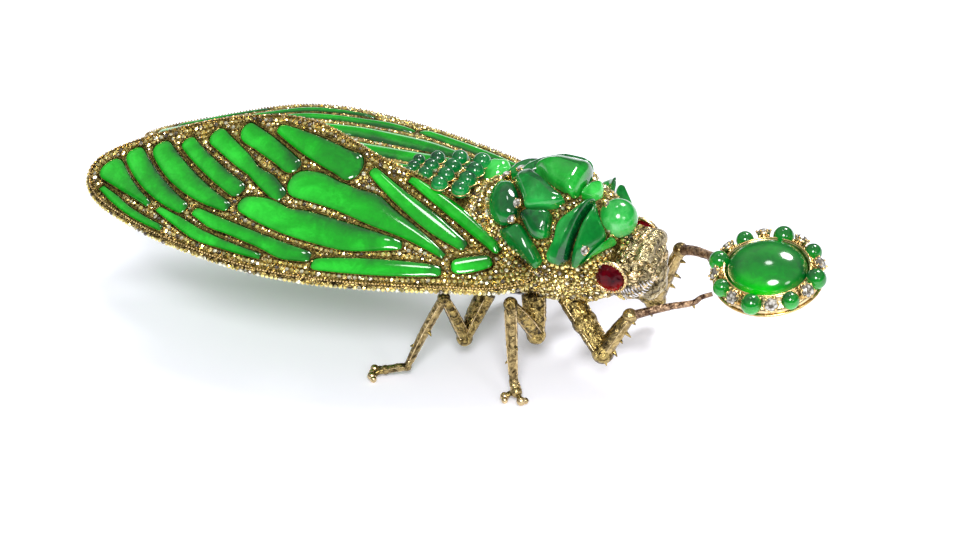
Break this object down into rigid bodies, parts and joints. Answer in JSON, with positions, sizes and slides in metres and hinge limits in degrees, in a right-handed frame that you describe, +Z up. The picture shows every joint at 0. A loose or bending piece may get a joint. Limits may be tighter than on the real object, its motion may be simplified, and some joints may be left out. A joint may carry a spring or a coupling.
{
  "type": "jewelled cicada brooch ornament",
  "caption": "Cicada ornament with jade inlaid wings and back on a gilt body, standing on its legs and holding a jade cluster, with a hinged brooch pin below.",
  "frame": {"origin": "on the floor under the middle of the bounding box", "axes": "+X from the tail to the head, +Z up, the near side of the figure is -Y"},
  "size_m": [0.147, 0.058, 0.041],
  "materials": {
    "gold": "cast gilt metal, set with small stones",
    "wing_jade": "polished bright green jade",
    "body_jade": "polished deep green jade",
    "pale_jade": "polished light green jade",
    "ruby": "faceted red stone",
    "steel": "dark steel"
  },
  "bodies": {
    "root": {"near_wing_frame": "gold", "near_wing_panel_01": "wing_jade", "near_wing_panel_02": "wing_jade", "near_wing_panel_03": "wing_jade", "near_wing_panel_04": "wing_jade", "near_wing_panel_05": "wing_jade", "near_wing_panel_06": "wing_jade", "near_wing_panel_07": "wing_jade", "near_wing_panel_08": "wing_jade", "near_wing_panel_09": "wing_jade", "near_wing_panel_10": "wing_jade", "near_wing_panel_11": "wing_jade", "near_wing_panel_12": "wing_jade", "near_wing_panel_13": "wing_jade", "near_wing_panel_14": "wing_jade", "near_wing_panel_15": "wing_jade", "near_wing_panel_16": "wing_jade", "far_wing_frame": "gold", "far_wing_panel_01": "wing_jade", "far_wing_panel_02": "wing_jade", "far_wing_panel_03": "wing_jade", "far_wing_panel_04": "wing_jade", "far_wing_panel_05": "wing_jade", "far_wing_panel_06": "wing_jade", "far_wing_panel_07": "wing_jade", "far_wing_panel_08": "wing_jade", "far_wing_panel_09": "wing_jade", "far_wing_panel_10": "wing_jade", "far_wing_panel_11": "wing_jade", "far_wing_panel_12": "wing_jade", "far_wing_panel_13": "wing_jade", "far_wing_panel_14": "wing_jade", "far_wing_panel_15": "wing_jade", "shield_stone": "body_jade", "near_side_stone": "body_jade", "far_side_stone": "body_jade", "near_rear_stone": "body_jade", "far_rear_stone": "body_jade", "near_flank_stone": "body_jade", "far_flank_stone": "body_jade", "near_flank_petal": "body_jade", "far_flank_petal": "body_jade", "near_neck_petal": "body_jade", "far_neck_petal": "body_jade", "near_neck_leaf": "body_jade", "far_neck_leaf": "body_jade", "crown_ball": "pale_jade", "near_ruby_eye": "ruby", "far_ruby_eye": "ruby", "head": "gold", "near_middle_leg": "gold", "far_middle_leg": "gold", "near_hind_leg": "gold", "far_hind_leg": "gold", "cluster_mount": "gold", "cluster_cabochon": "wing_jade", "near_front_leg": "gold", "far_front_leg": "gold", "body": "gold"},
    "pin": {"brooch_pin": "steel"}
  },
  "joints": [
    {"name": "pin_hinge", "type": "hinge", "parent": "root", "child": "pin", "pos_m": [0.02504, 0.00072, 0.0112], "axis": [0, -1, 0], "range_deg": [0, 70]}
  ]
}
